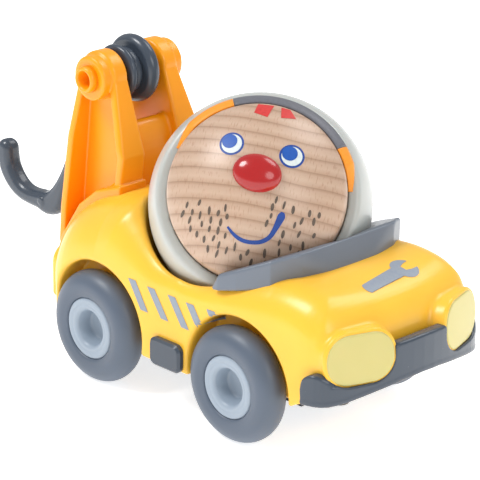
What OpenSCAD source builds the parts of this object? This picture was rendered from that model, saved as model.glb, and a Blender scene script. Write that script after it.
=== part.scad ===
// Toy tow truck with a turning ball-headed driver, a friction motor
// and a swinging tow hook.
// Units are millimetres. X points forward, Y to the truck's left, Z up.
// Z = 0 is the floor, and the origin is the middle of the outline on it.

/* [Truck] */
// Distance between the front and rear axles
wheelbase = 40.6; // [38:0.2:44]
// Wheel radius over the tyre
wheel_r = 11.9; // [11:0.1:12.6]
// Half of the width over the tyres
track_half = 24; // [23.8:0.1:25]
// Thickness of the body shell
wall = 2; // [1.6:0.1:2.4]
// Height of the lower edge of the body
body_z = 10; // [9.6:0.1:10.6]

/* [Driver] */
// Radius of the ball head
ball_r = 22.5; // [22:0.1:22.8]
// How far the head is turned to its right at rest, in degrees
head_turn = 49; // [0:1:90]
// How far the face looks up at rest, in degrees
face_up = 30; // [0:1:40]
// How far the face is tipped sideways in the ball, in degrees
face_tip = -12; // [-20:1:20]

/* [Crane] */
// Height of the pulley axle
mast_z = 59.6; // [57:0.1:62]
// Radius of the big pulley disc
pulley_r = 7.2; // [6:0.1:7.6]
// Clear space between the two arms
arm_gap = 10; // [9.6:0.1:11]
// Width over the two arms
arm_over = 22; // [20:0.5:24]

/* [Motor] */
// Size of the gear teeth (module)
tooth = 0.6; // [0.6:0.05:0.65]

/* [Hidden] */
$fn = 64;
eps = 0.01;
axle_x = wheelbase / 2;
axle_r = 1.5;
shaft_r = 0.75;
run = 0.05;                   // clearance of a shaft in its bearing
ball = [5.2, 0, 40];          // centre of the head
ball_gap = 0.8;
mast_x = -34;
tyre_w = 6.7;
hub_r = 6.5;
arch_r = 13.6;
nose_c = 7;                   // centre of the nose curve
nose_r = 41;
bumper_t = 2.2;
hook_mid = [-65.4, 31];       // centre of the hook's J curve
hook_in = 6.8;
hook_bar = 4.2;
// middle of the outline, seen from the middle of the wheelbase
xo = (hook_in + hook_bar - hook_mid[0] - nose_c - nose_r - bumper_t) / 2;
teeth_axle = 18;
teeth_idler = 9;
teeth_idler_big = 18;
teeth_fly = 9;
idler_up = 18;                // direction from axle to idler, above straight back
fly_up = 66;
axle_p = [-axle_x, wheel_r];
d1 = tooth * (teeth_axle + teeth_idler) / 2;
d2 = tooth * (teeth_idler_big + teeth_fly) / 2;
idler_p = axle_p + d1 * [-cos(idler_up), sin(idler_up)];
fly_p = idler_p + d2 * [-cos(fly_up), sin(fly_up)];

yellow = "#F7C64A";
amber = "#F5A227";
grey_dark = "#565E6A";
grey_mid = "#8C939C";
grey_tyre = "#66717E";
grey_hub = "#A5B0BC";
steel = "#B9BDC2";

// ---- helpers ----------------------------------------------------------

// Moves a piece from the wheelbase middle to the middle of the outline.
module placed() translate([xo, 0, 0]) children();

module both_sides() {
  children();
  mirror([0, 1, 0]) children();
}

// An outline drawn in X and Z, made thick from y0 to y1.
module along_y(y0, y1)
  translate([0, y1, 0]) rotate([90, 0, 0]) linear_extrude(y1 - y0) children();

// An outline drawn in Y and Z, made thick from x0 to x1.
module along_x(x0, x1)
  translate([x0, 0, 0]) rotate([90, 0, 90]) linear_extrude(x1 - x0) children();

// A rod across the truck, centred on a point in X and Z.
module cross_rod(p, r, y0, y1)
  along_y(y0, y1) translate(p) circle(r);

module round_rect(w, h, r) {
  square([w - 2 * r, h], center = true);
  square([w, h - 2 * r], center = true);
  for (x = [-1, 1], y = [-1, 1])
    translate([x * (w / 2 - r), y * (h / 2 - r)]) circle(r, $fn = 32);
}

// Outline of a gear with n teeth, its first tooth turned by a degrees.
function gear_points(n, a) = [
  for (i = [0 : n - 1], k = [[-0.62, -1.15], [-0.24, 0.85], [0.24, 0.85], [0.62, -1.15]])
    (n / 2 + k[1]) * tooth
      * [cos(a + (i + k[0] / 2) * 360 / n), sin(a + (i + k[0] / 2) * 360 / n)]
];

module gear(p, n, a, y0, y1)
  along_y(y0, y1) translate(p) polygon(gear_points(n, a));

// ---- body -------------------------------------------------------------

// Side view of the body: deck, cockpit rim, bonnet and nose.
function side_points(g) = [
  [-41 + g, body_z - 1], [-43 + g, 13], [-43.6 + g, 18], [-42.8 + g, 22 - g / 2],
  [-40 + g, 26.5 - g], [-35.5, 31.5 - g], [-30, 35 - g], [-24, 37.4 - g],
  [-18, 39 - g], [-14, 39.4 - g], [-10, 36.6 - g], [-6, 33.2 - g],
  [-2, 31 - g], [3, 29.8 - g], [8, 29.8 - g], [13, 30.6 - g],
  [20, 32.8 - g], [27, 34.7 - g], [34, 34.5 - g], [40 - g / 2, 33.5 - g],
  [44 - g, 31.4 - g], [46.3 - g, 28 - g], [47.5 - g, 24], [48 - g, 19],
  [47.6 - g, 17.4 + g / 2], [46 - g, 16.8 + g], [40, 14.6 + g], [36, 12.6 + g],
  [33, body_z + 0.4], [32, body_z - 1]
];

// Plan view of one half of the body.
function plan_points(g) = concat(
  [[-43.6 + g, -1], [-43.6 + g, 14 - g], [-42.4 + g, 17 - g], [-39 + g, 19.6 - g],
   [-33, 21.6 - g], [-26, 22.4 - g], [10, 22.5 - g], [24, 22 - g],
   [34, 21.8 - g], [40 - g / 2, 21.5 - g], [42.6 - g, 20.6 - g], [44 - g, 18.8 - g]],
  [for (y = [16 : -2 : 0]) [nose_c + sqrt(pow(nose_r, 2) - y * y) - g, y]],
  [[nose_c + nose_r - g, -1]]
);

// Views from the front: a round-backed deck and a flatter bonnet.
function deck_points(g) = [
  [-1, body_z - 1], [22.2 - g, body_z - 1], [22.5 - g, 18], [22.2 - g, 23],
  [21 - g, 28 - g / 2], [18.6 - g, 32.4 - g], [15 - g / 2, 35.8 - g],
  [10, 38.2 - g], [5, 39.3 - g], [-1, 39.6 - g]
];
function bonnet_points(g) = [
  [-1, body_z - 1], [22.4 - g, body_z - 1], [22.5 - g, 20], [22 - g, 25.5],
  [20.8 - g, 29.8 - g / 2], [18 - g / 2, 32.7 - g], [12.2, 34.2 - g],
  [6, 34.8 - g], [-1, 35 - g]
];

module half_to_whole() {
  children();
  mirror([1, 0, 0]) children();
}

// The body as a solid lump, g millimetres inside its outer face.
module body_block(g) intersection() {
  along_y(-30, 30) polygon(side_points(g));
  both_sides() linear_extrude(60) polygon(plan_points(g));
  union() {
    along_x(-50, -8) half_to_whole() polygon(deck_points(g));
    along_x(-8 - eps, 60) half_to_whole() polygon(bonnet_points(g));
  }
  translate([-60, -30, body_z]) cube([120, 60, 60]);
}

// Puts a flat outline on the nose at the left headlight, facing outwards.
module at_headlight()
  translate([46.4, 14.2, 23.6]) rotate([0, 0, 18.5]) rotate([0, -5, 0])
    rotate([90, 0, 90]) children();

// Round wheel arches, centred a little ahead of and above the axles.
module wheel_wells(r, y0)
  for (x = [-axle_x, axle_x]) both_sides()
    cross_rod([x + 0.9, wheel_r + 0.9], r, y0, 30);

screw_at = [[-38.8, 11.6], [27.2, 11]];

module body_shell() placed() color(yellow) difference() {
  union() {
    difference() {
      body_block(0);
      difference() {
        translate([0, 0, -eps]) body_block(wall);
        // round liners inside the wheel arches
        wheel_wells(arch_r + 1.4, 14.6);
        // bowl under the head
        translate(ball) sphere(ball_r + ball_gap + wall);
        for (p = screw_at) both_sides()
          translate([p[0], p[1], body_z + 0.5]) cylinder(r = 2.4, h = 60);
      }
    }
    both_sides() at_headlight() translate([0, 0, -4]) linear_extrude(4.3)
      round_rect(15.8, 11.2, 5.3);
  }
  wheel_wells(arch_r, 16);
  translate(ball) sphere(ball_r + ball_gap);
  translate([ball[0], 0, 0]) cylinder(r = 5.6, h = 20);
  for (x = [-axle_x, axle_x]) cross_rod([x, wheel_r], 2.6, -30, 30);
  for (p = screw_at) both_sides()
    translate([p[0], p[1], body_z - 1]) cylinder(r = 1.1, h = 12, $fn = 24);
  both_sides() at_headlight() translate([0, 0, -1.2]) linear_extrude(4)
    round_rect(14.7, 10.1, 4.75);
  // notches for the arms of the side steps
  both_sides() translate([-0.6, 19, 9]) cube([6, 5, 4.5]);
  // slots for the crane's tabs
  both_sides() translate([-31.1, 5.9, 20]) cube([4.2, 2.2, 30]);
  translate([-60, -30, -1]) cube([120, 60, body_z + 1]);
}

// Floor pan with side steps, front axle bearings and the neck socket.
module chassis() placed() color(grey_dark) difference() {
  union() {
    translate([-41, -13.8, 8.4]) cube([72, 27.6, body_z - 8.4]);
    translate([-3.6, -18.2, 8.4]) cube([10.6, 36.4, body_z - 8.4]);
    both_sides() {
      // side step with a bevelled edge, on an arm through the body
      translate([-0.5, 17, 8.4]) cube([5.8, 1.2, 5]);
      translate([-0.5, 17, 10.2]) cube([5.8, 6, 3.2]);
      hull() {
        along_y(22.55, 23.4) translate([2.4, 13.1]) round_rect(8.8, 6, 1.6);
        along_y(23.3, 23.9) translate([2.4, 13.1]) round_rect(7.8, 5, 1.2);
      }
      translate([axle_x - 3, 8, 8.4]) cube([6, 3, 7]);
    }
    translate([ball[0], 0, 8.4]) cylinder(r = 5, h = 5.9);
    translate([28, 0, 7.2]) cylinder(r = 4.4, h = 2);
  }
  cross_rod([axle_x, wheel_r], axle_r + run, -20, 20);
  translate([ball[0], 0, 9.4]) cylinder(r = 3 + run, h = 9);
  translate([-38.3, -9.1, 5]) cube([25.9, 18.2, 9]);
  for (p = screw_at) both_sides() {
    translate([p[0], p[1], 0]) cylinder(r = 1.35, h = 30, $fn = 24);
    translate([p[0], p[1], 8]) cylinder(r = 2.3, h = 1.3);
  }
  for (x = [-30, -16]) both_sides() translate([x, 11.4, 0]) {
    cylinder(r = 1.05, h = 30, $fn = 24);
    translate([0, 0, 8]) cylinder(r = 1.9, h = 1.3);
  }
  translate([28, 0, 6]) cylinder(r = 1.5, h = 8, $fn = 24);
}

// Screw with a pan head, pointing up from z.
module screw(x, y, z, r, len) translate([x, y, z]) {
  cylinder(r = r * 1.9, h = 0.8);
  cylinder(r = r, h = len, $fn = 24);
}

module chassis_screws() placed() color(steel)
  for (p = screw_at) both_sides() screw(p[0], p[1], 8.5, 1.1, 10);

module motor_screws() placed() color(steel)
  for (x = [-30, -16]) both_sides() screw(x, 11.4, 8.5, 0.9, 4);

// Black glide under the nose.
module nose_glide() placed() color("#1E2024") {
  translate([28, 0, 4.4]) cylinder(r1 = 2.2, r2 = 3, h = 1);
  translate([28, 0, 5.4]) cylinder(r = 3, h = 1.8);
  translate([28, 0, 5.4]) cylinder(r = 1.5, h = 5.6, $fn = 24);
}

// Plan curve of the nose, g millimetres outside the body.
function nose_curve(g) = concat(
  [[36, 21.72 + g], [40, 21.5 + g], [42.6 + g * 0.5, 20.6 + g * 0.8],
   [44 + g * 0.8, 18.8 + g * 0.5]],
  [for (y = [16 : -2 : 0]) [nose_c + sqrt(pow(nose_r + g, 2) - y * y), y]],
  [[nose_c + nose_r + g, -1]]
);

// Front view of one half of the bumper: raised between the lenses.
function bumper_points() = [
  [-1, 17.8], [5, 17.7], [12, 17], [16, 16.5], [20, 15.8], [25, 14.6], [25, 19.2],
  [12, 19.8], [9.4, 21], [8.6, 22.6], [8, 24.4], [7.4, 25.1], [6, 25.4], [-1, 25.6]
];

module front_bumper() placed() color(grey_dark) difference() {
  intersection() {
    both_sides() difference() {
      linear_extrude(60) polygon(concat(nose_curve(bumper_t), [[30, -1], [30, 24.5]]));
      linear_extrude(60) polygon(concat(nose_curve(0.02), [[20, -1], [20, 21.74]]));
    }
    union() {
      along_x(30, 60) half_to_whole() polygon(bumper_points());
      // rounded end on the side of the nose
      both_sides() along_y(18, 30) {
        translate([42.5, 18.1]) circle(3.1);
        translate([39.4, 14.4]) square([5, 3.7]);
      }
    }
    translate([39.4, -30, 0]) cube([30, 60, 60]);
  }
  // its edge covers the lower rim of the headlight
  both_sides() at_headlight() {
    translate([0, 0, -5]) linear_extrude(5.32) round_rect(15.9, 11.3, 5.35);
    linear_extrude(12) round_rect(14.7, 10.1, 4.75);
  }
}

// Low windscreen frame hugging the ball, with wings on the shoulders.
function screen_plan() = [
  [14.2, 22.3], [16, 22.5], [20, 21.4], [26.4, 18.4], [29.6, 13],
  [31.2, 6.5], [31.6, 0], [31.6, -1], [24, -1], [14, 16]
];
module windscreen_frame() placed() color(grey_mid) difference() {
  intersection() {
    both_sides() linear_extrude(60) polygon(screen_plan());
    along_y(-30, 30) polygon([
      [14, 30.4], [16.2, 34], [22, 36.6], [26, 38.4], [28.4, 39.4],
      [29.4, 39.4], [31.6, 33.8], [31.6, 32.4], [26.7, 32.6], [14.7, 30.2]
    ]);
  }
  translate(ball) sphere(ball_r + ball_gap + 0.1);
  body_block(-0.02);
}

module headlight_lens() placed() color("#E6E49C")
  at_headlight() translate([0, 0, -1.2]) linear_extrude(1.9) round_rect(14.6, 10, 4.7);
module headlight_lens_left() headlight_lens();
module headlight_lens_right() mirror([0, 1, 0]) headlight_lens();

// ---- crane ------------------------------------------------------------

cap_r = 5.4;
// Side view of an arm, g millimetres inside its edge.
module arm_outline(g) {
  translate([mast_x, mast_z]) circle(cap_r - g);
  polygon([
    [mast_x - cap_r + g, mast_z], [-42.6 + g, 30], [-43.2 + g, 22 + g],
    [-40.4 + g, 22 + g], [-24.2 - g, 31 + g], [-24 - g, 38], [-23.3 - g, 44.8],
    [mast_x + cap_r - g, mast_z]
  ]);
}

module crane_frame() placed() color(amber) difference() {
  union() {
    // bosses that keep the pulley in its place
    cross_rod([mast_x, mast_z], 3.4, 3.2, arm_gap / 2 + 1);
    cross_rod([mast_x, mast_z], 3.4, -arm_gap / 2 - 1, -4.3);
    both_sides() {
      // channel-section arms, narrower towards the top
      difference() {
        intersection() {
          along_y(arm_gap / 2, arm_over / 2 + 1) arm_outline(0);
          along_x(-60, 0) polygon([
            [0, 10], [12, 10], [12, 46], [11, 51.6], [9.6, 56], [8.8, 60], [8.8, 70], [0, 70]
          ]);
        }
        along_y(arm_gap / 2 + wall, 20) arm_outline(1.9);
      }
      translate([-31, 6, 31]) cube([4, 2, 9]);
      cross_rod([mast_x, mast_z], 4.7, arm_gap / 2, arm_over / 2);
      // foot rim that follows the round deck
      along_y(arm_gap / 2, arm_over / 2 + 1.5) polygon([
        [-43.2, 20], [-41, 24.6], [-36, 32], [-30.6, 36.2], [-24, 38.6],
        [-23, 39], [-23, 30], [-43.2, 18]
      ]);
    }
    // cross panel between the arms, in front of the pulley
    along_y(-arm_gap / 2, arm_gap / 2) polygon([
      [-31, 36], [-30.4, 49], [-29.2, 50.2], [-27.6, 49.6], [-26.4, 46], [-26, 38], [-26, 34]
    ]);
  }
  cross_rod([mast_x, mast_z], 2.35, -20, 20);
  difference() {
    body_block(-0.02);
    // tabs that clip through the deck
    both_sides() translate([-31, 6, 31]) cube([4, 2, 9]);
  }
  translate([-60, -30, 0]) cube([60, 60, 18]);
  translate(ball) sphere(ball_r + ball_gap);
}

// Hollow pin that carries the pulley and the hook.
module pulley_axle() placed() color(amber) difference() {
  cross_rod([mast_x, mast_z], 2.35, -12.7, 12.7);
  for (s = [-1, 1]) cross_rod([mast_x, mast_z], 1.5, s * 9.2 - 4, s * 9.2 + 4);
}

// Big disc with a long hub. The hook's eye and the flange sit on the hub.
module pulley_drum() placed() color(grey_dark) difference() {
  union() {
    translate([mast_x, 0, mast_z]) rotate([-90, 0, 0]) rotate_extrude() union() {
      translate([0, -0.3]) square([pulley_r - 1.6, 3.2]);
      translate([pulley_r - 1.6, 1.3]) circle(1.6, $fn = 32);
    }
    cross_rod([mast_x, mast_z], 3.3, -3.9, 0);
  }
  cross_rod([mast_x, mast_z], 2.35 + run, -10, 10);
}

module pulley_flange() placed() color(grey_dark)
  translate([mast_x, 0, mast_z]) rotate([-90, 0, 0]) rotate_extrude() polygon([
    [3.3, -3.8], [4.6, -4], [5.5, -3.8], [5.8, -3.2], [5.5, -2.7], [4.6, -2.4], [3.3, -2.4]
  ]);

// One-piece hook: an eye on the drum's hub, a flat shank and a round J.
module hook_outline() {
  // the J, from its tip round to the heel
  difference() {
    translate(hook_mid) circle(hook_in + hook_bar);
    translate(hook_mid) circle(hook_in);
    translate(hook_mid) polygon([[0, 0], [-30, 13], [-30, 40], [30, 40], [30, -5]]);
  }
  translate(hook_mid + (hook_in + hook_bar / 2) * [-cos(23.4), sin(23.4)])
    circle(hook_bar / 2);
  // shank from the heel to the eye
  polygon([
    [-61, 25.6], [-58.2, 22.2], [-54.8, 22.4], [-52.2, 25.4], [-49.8, 31.4], [-46.6, 39],
    [-43.6, 45.2], [-38, 53.4], [-41, 56], [-47, 48.4], [-50.2, 41.4], [-53, 34], [-55.8, 28.4]
  ]);
}
module tow_hook() placed() color(grey_dark) difference() {
  union() {
    intersection() {
      along_y(-2.1, 2.1) hook_outline();
      difference() {
        along_y(-10, 10) translate([-80, 10]) square([45, 46]);
        cross_rod([mast_x, mast_z], pulley_r + 0.6, -10, 10);
      }
    }
    along_y(-2.2, -0.6) {
      translate([mast_x, mast_z]) circle(5);
      polygon([[-50, 45], [-47, 42.6], [-31, 57], [-37.6, 62.4]]);
    }
    cross_rod([-60.4, 24], 1, -2.4, 2.4);
  }
  cross_rod([mast_x, mast_z], 3.3 + run, -10, 10);
}

// ---- friction motor -----------------------------------------------------

module case_outline(g) polygon([
  [-38 + g, 4.4 + g], [-12.6 - g, 4.4 + g], [-12.6 - g, 17.6 - g / 2],
  [-22 - g / 2, 28.4 - g], [-35 + g / 2, 28.4 - g], [-38 + g, 24.4 - g / 2]
]);

// One half of the clamshell, the left one.
module case_half() placed() color("#3E444C") difference() {
  union() {
    difference() {
      along_y(0, 9) case_outline(0);
      along_y(-1, 7.8) case_outline(1.2);
    }
    for (x = [-30, -16]) translate([x - 2.4, 8.8, 10]) cube([4.8, 4.6, 2]);
    cross_rod(axle_p, 3, 5.8, 9);
  }
  cross_rod(axle_p, axle_r + run, -1, 20);
  cross_rod(idler_p, shaft_r + run, -1, 20);
  cross_rod(fly_p, shaft_r + run, -1, 20);
  for (x = [-30, -16]) translate([x, 11.4, 5]) cylinder(r = 0.9, h = 12, $fn = 24);
}
module motor_case_left() case_half();
module motor_case_right() mirror([0, 1, 0]) case_half();

module axle_gear() placed() color("#E8E4D8") difference() {
  union() {
    gear(axle_p, teeth_axle, 180 - idler_up, 2.2, 4.8);
    cross_rod(axle_p, 3, 1, 5.6);
  }
  cross_rod(axle_p, axle_r, -1, 20);
}

// Two gears and their shaft in one piece.
module idler_gear() placed() color("#E8E4D8") {
  gear(idler_p, teeth_idler, -idler_up + 180 / teeth_idler, 1, 4.9);
  gear(idler_p, teeth_idler_big, 180 - fly_up, -1.6, 0.8);
  cross_rod(idler_p, shaft_r, -8.6, 8.6);
}

// Heavy steel disc with its pinion and shaft.
module flywheel() placed() color(steel) {
  gear(fly_p, teeth_fly, -fly_up + 180 / teeth_fly, -2.2, 1.2);
  cross_rod(fly_p, 5, -7.4, -2.2);
  cross_rod(fly_p, shaft_r, -8.6, 8.6);
}

// ---- wheels -------------------------------------------------------------

// A wheel piece on the left side, turned about the axle at x.
module turned(x) placed() translate([x, 0, wheel_r]) rotate([-90, 0, 0])
  rotate_extrude() children();

module tyre(x) color(grey_tyre) turned(x) {
  difference() {
    union() {
      translate([wheel_r - tyre_w / 2, track_half - tyre_w / 2]) circle(tyre_w / 2);
      translate([hub_r, track_half - tyre_w + 0.5])
        square([wheel_r - tyre_w / 2 - hub_r, tyre_w - 1]);
    }
    translate([0, 10]) square([hub_r, 20]);
  }
}
module hub(x) color(grey_hub) turned(x) polygon([
  [axle_r, 18.4], [hub_r, 18.4], [hub_r, 23.2], [6, 23.7], [5.2, 23.8],
  [4.5, 23.3], [4.1, 22.2], [3.9, 20.2], [3, 19.8], [2.4, 20.4], [axle_r, 20.4]
]);
module axle(x) placed() color(steel) cross_rod([x, wheel_r], axle_r, -20, 20);

module front_axle() axle(axle_x);
module front_hub_left() hub(axle_x);
module front_hub_right() mirror([0, 1, 0]) hub(axle_x);
module front_tyre_left() tyre(axle_x);
module front_tyre_right() mirror([0, 1, 0]) tyre(axle_x);
module rear_axle() axle(-axle_x);
module rear_hub_left() hub(-axle_x);
module rear_hub_right() mirror([0, 1, 0]) hub(-axle_x);
module rear_tyre_left() tyre(-axle_x);
module rear_tyre_right() mirror([0, 1, 0]) tyre(-axle_x);

// ---- driver's head --------------------------------------------------------

// Head frame: X out of the face, Y along the nodding pin.
module head_frame() placed() translate(ball)
  rotate([0, 0, -head_turn]) rotate([0, -face_up, 0]) children();
// Face frame: the same, tipped sideways.
module face_frame() head_frame() rotate([face_tip, 0, 0]) children();

module head_shell() color("#D8DAD2") head_frame() difference() {
  union() {
    rotate([0, 90, 0]) rotate_extrude($fn = 96) {
      intersection() {
        difference() {
          circle(ball_r, $fn = 96);
          circle(ball_r - 2.2, $fn = 96);
        }
        translate([0, -30]) square([30, 37.2]);
      }
      // inner ring that seats the face, and the mouth around it
      difference() {
        intersection() {
          circle(ball_r, $fn = 96);
          translate([15, 7.2]) square([10, 3.2]);
        }
        translate([10, 9.2]) square([7.75, 10]);
      }
    }
    // bosses for the nodding pin
    for (s = [-1, 1])
      rotate([-90 * s, 0, 0]) translate([0, 0, 4]) cylinder(r = 3.2, h = 16.6);
  }
  rotate([90, 0, 0]) cylinder(r = 1.5, h = 38, center = true);
  // slot for the neck, long enough for the whole nod
  rotate([90, 0, 0]) translate([0, 0, -3.6]) linear_extrude(7.2) polygon([
    [0, 0], 40 * [cos(-68), sin(-68)], 44 * [cos(-105), sin(-105)],
    40 * [cos(-142), sin(-142)]
  ]);
}

module nod_pin() color(steel) head_frame()
  rotate([90, 0, 0]) cylinder(r = 1.5, h = 38, center = true);

// Turned wooden face: a domed cap on a short drum.
module wooden_face() color("#E2C8AC") face_frame()
  rotate([0, 90, 0]) rotate_extrude($fn = 96) intersection() {
    circle(ball_r, $fn = 96);
    difference() {
      translate([0, 9.2]) square([17.7, 20]);
      square([5, 12]);
    }
  }

module face_nose() color("#B42C2A") face_frame()
  rotate([0, -5.5, 0]) difference() {
    translate([ball_r - 0.3, 0, 0]) scale([2.4, 4.8, 3.8]) sphere(1, $fn = 48);
    sphere(ball_r + 0.05, $fn = 96);
  }

// Band of the cap over the forehead.
module cap_band() color("#6A6A72") face_frame()
  rotate([0, 90, 0]) rotate([0, 0, 100]) rotate_extrude(angle = 160) polygon([
    [17.75, 10.42], [19.9, 10.42], [19.5, 11.2], [18.9, 12.1], [17.75, 13.2]
  ]);

// Stem that turns in the floor pan and holds the nodding pin.
module neck_stem() placed() color("#3E444C") translate([ball[0], 0, 0])
  rotate([0, 0, -head_turn]) difference() {
    union() {
      translate([0, 0, 9.6]) cylinder(r = 3, h = 6);
      translate([0, 0, 14.5]) cylinder(r = 4.4, h = 1.4);
      translate([0, 0, 15]) cylinder(r = 2.2, h = 25);
      translate([0, 0, ball[2]]) rotate([90, 0, 0]) cylinder(r = 3.4, h = 7.2, center = true);
    }
    translate([0, 0, ball[2]]) rotate([90, 0, 0]) cylinder(r = 1.5 + run, h = 20, center = true);
  }

// ---- what is drawn --------------------------------------------------------

body_shell();
chassis();
front_bumper();
windscreen_frame();
headlight_lens_right();
headlight_lens_left();
crane_frame();
pulley_axle();
motor_case_right();
motor_case_left();
chassis_screws();
motor_screws();
nose_glide();
front_axle();
front_hub_right();
front_hub_left();
front_tyre_right();
front_tyre_left();
rear_axle();
rear_hub_right();
rear_hub_left();
rear_tyre_right();
rear_tyre_left();
axle_gear();
idler_gear();
flywheel();
neck_stem();
head_shell();
wooden_face();
face_nose();
cap_band();
nod_pin();
pulley_drum();
pulley_flange();
tow_hook();
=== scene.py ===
"""Looks for the toy tow truck: moulded body, crane, wheels and the ball-headed driver."""
import math
import random

import bmesh
import bpy
import numpy as np
from mathutils import Matrix, Vector
from mathutils.bvhtree import BVHTree


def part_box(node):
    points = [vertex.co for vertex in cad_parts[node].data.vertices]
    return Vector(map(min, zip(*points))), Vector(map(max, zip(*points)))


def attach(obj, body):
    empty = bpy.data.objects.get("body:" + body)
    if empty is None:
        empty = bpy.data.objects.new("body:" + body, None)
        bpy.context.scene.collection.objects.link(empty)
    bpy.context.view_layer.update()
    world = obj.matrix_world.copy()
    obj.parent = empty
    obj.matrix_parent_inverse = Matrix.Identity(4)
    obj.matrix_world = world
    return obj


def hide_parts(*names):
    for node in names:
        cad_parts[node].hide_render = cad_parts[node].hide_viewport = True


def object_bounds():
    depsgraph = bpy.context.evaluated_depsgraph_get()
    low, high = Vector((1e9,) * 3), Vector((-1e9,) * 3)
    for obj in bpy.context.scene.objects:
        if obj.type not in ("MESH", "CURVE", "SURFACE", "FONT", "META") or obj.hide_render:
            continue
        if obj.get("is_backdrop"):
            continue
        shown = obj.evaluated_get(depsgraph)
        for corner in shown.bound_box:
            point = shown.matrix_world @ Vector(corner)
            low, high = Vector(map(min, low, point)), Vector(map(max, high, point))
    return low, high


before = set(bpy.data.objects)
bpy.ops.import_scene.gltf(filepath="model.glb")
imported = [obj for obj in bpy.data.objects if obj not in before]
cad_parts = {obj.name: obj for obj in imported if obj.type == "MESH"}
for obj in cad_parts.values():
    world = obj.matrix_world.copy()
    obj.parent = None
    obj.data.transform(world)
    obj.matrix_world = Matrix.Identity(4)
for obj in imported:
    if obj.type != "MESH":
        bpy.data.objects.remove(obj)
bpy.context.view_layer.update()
MM = 0.001


# ---- where things are, in millimetres from the middle of the wheelbase ----------

def middle_of(node):
    low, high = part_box(node)
    return (Vector(low) + Vector(high)) / 2 / MM


front_wheel = middle_of("front_tyre_left")
rear_wheel = middle_of("rear_tyre_left")
SHIFT = (front_wheel.x + rear_wheel.x) / 2
AXLE_X = (front_wheel.x - rear_wheel.x) / 2
WHEEL_R = front_wheel.z
BALL = Vector((5.2, 0, 40))
BALL_R = 22.5
MAST = Vector((middle_of("pulley_axle").x - SHIFT, 0, middle_of("pulley_axle").z))
HEAD_TURN, FACE_UP, FACE_TIP = 49, 30, -12


def metres(p):
    """A point in millimetres from the wheelbase middle, as metres in the row frame."""
    return Vector(((p[0] + SHIFT) * MM, p[1] * MM, p[2] * MM))


# ---- materials ----------------------------------------------------------------

def linear(hex_colour, alpha=1.0):
    """An sRGB hex colour as linear red, green, blue and alpha."""
    out = []
    for i in (0, 2, 4):
        c = int(hex_colour[i:i + 2], 16) / 255
        out.append(c / 12.92 if c <= 0.04045 else ((c + 0.055) / 1.055) ** 2.4)
    return (*out, alpha)


def add(tree, kind, settings=(), links=()):
    """Adds a node. A setting or link names a property or a socket, or gives a socket's number."""
    node = tree.nodes.new(kind)
    for key, value in dict(settings).items():
        if isinstance(key, str) and hasattr(node, key):
            setattr(node, key, value)
        else:
            node.inputs[key].default_value = value
    for key, source in dict(links).items():
        tree.links.new(source, node.inputs[key])
    return node


def blank(name, **shader):
    """A material with one Principled shader and the constants set on its sockets."""
    mat = bpy.data.materials.new(name)
    mat.use_nodes = True
    tree = mat.node_tree
    shade = tree.nodes["Principled BSDF"]
    for key, value in shader.items():
        shade.inputs[key.replace("_", " ")].default_value = value
    return mat, tree, shade


def colour_by(tree, source, stops):
    """A colour ramp: stops are (place, sRGB hex)."""
    node = add(tree, "ShaderNodeValToRGB", links={"Fac": source})
    stretch = node.color_ramp.elements
    stretch[0].position, stretch[0].color = stops[0][0], linear(stops[0][1])
    stretch[1].position, stretch[1].color = stops[-1][0], linear(stops[-1][1])
    for place, hex_colour in stops[1:-1]:
        stretch.new(place).color = linear(hex_colour)
    return node.outputs["Color"]


def moulded(name, light, dark, rough, glow=0.0, glow_mm=1.5, grain_mm=0.5, grain=0.05, coat=0.0):
    """Injection-moulded plastic: an even colour with a faint cloudiness from the flow
    of the melt, and a fine spark-eroded skin that softens the highlight. glow is how
    much light gets into the plastic, as it does in yellow, amber and white."""
    mat, tree, shade = blank(name, IOR=1.5, Coat_Weight=coat, Coat_Roughness=0.08,
                             Subsurface_Weight=glow, Subsurface_Scale=glow_mm * MM)
    if glow:
        r, g, b, _ = linear(light)
        shade.inputs["Subsurface Radius"].default_value = (1.0, 0.3 + 0.5 * g, 0.1 + 0.6 * b)
    place = add(tree, "ShaderNodeTexCoord").outputs["Object"]
    cloud = add(tree, "ShaderNodeTexNoise", {"Scale": 1 / (14 * MM), "Detail": 2.0}, {"Vector": place})
    tint = colour_by(tree, cloud.outputs["Fac"], [(0.35, dark), (0.65, light)])
    tree.links.new(tint, shade.inputs["Base Color"])
    skin_grain = add(tree, "ShaderNodeTexNoise", {"Scale": 1 / (grain_mm * MM), "Detail": 1.0},
                     {"Vector": place})
    span = add(tree, "ShaderNodeMapRange", {"To Min": rough - 0.04, "To Max": rough + 0.04},
               {"Value": skin_grain.outputs["Fac"]})
    tree.links.new(span.outputs["Result"], shade.inputs["Roughness"])
    bump = add(tree, "ShaderNodeBump", {"Strength": grain, "Distance": 0.03 * MM},
               {"Height": skin_grain.outputs["Fac"]})
    tree.links.new(bump.outputs["Normal"], shade.inputs["Normal"])
    return mat


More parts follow.
